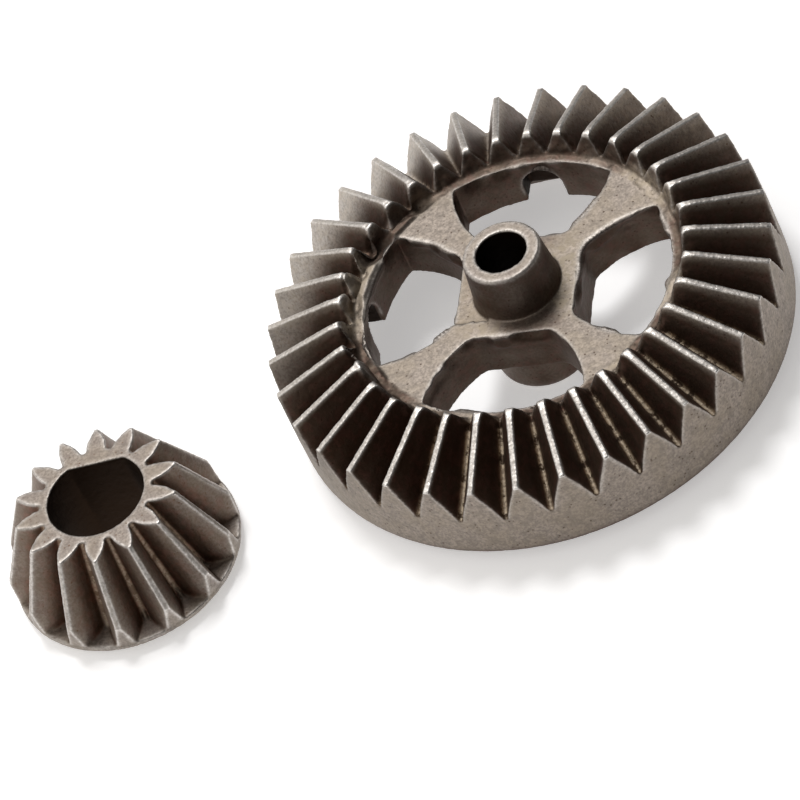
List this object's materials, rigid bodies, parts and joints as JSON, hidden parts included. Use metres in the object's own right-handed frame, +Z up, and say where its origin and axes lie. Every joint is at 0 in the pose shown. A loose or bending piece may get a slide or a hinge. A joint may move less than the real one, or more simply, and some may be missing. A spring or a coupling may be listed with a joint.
{
  "type": "bevel gear pair",
  "caption": "Straight bevel gear pair for shafts at a right angle: a large spoked ring gear with a bored hub and a small pinion with a D-shaped bore.",
  "frame": {"origin": "on the ring gear's axis, on the surface that both gears lie on", "axes": "+Z up along the ring gear's axis towards its toothed side; the pinion lies towards -X with its own axis upright"},
  "size_m": [0.0433, 0.0268, 0.0081],
  "materials": {
    "ring_steel": "sintered, worn bright on the tooth crests",
    "pinion_steel": "sintered, worn bright on the tooth crests"
  },
  "bodies": {
    "ring": {"ring_gear": "ring_steel"},
    "pinion": {"pinion_gear": "pinion_steel"}
  },
  "joints": [
    {"name": "pinion_into_mesh", "type": "hinge", "parent": "ring", "child": "pinion", "pos_m": [-0.01428, -0.00042, 0.00046], "axis": [-0.0293, 0.9996, 0], "range_deg": [0, 90]}
  ]
}
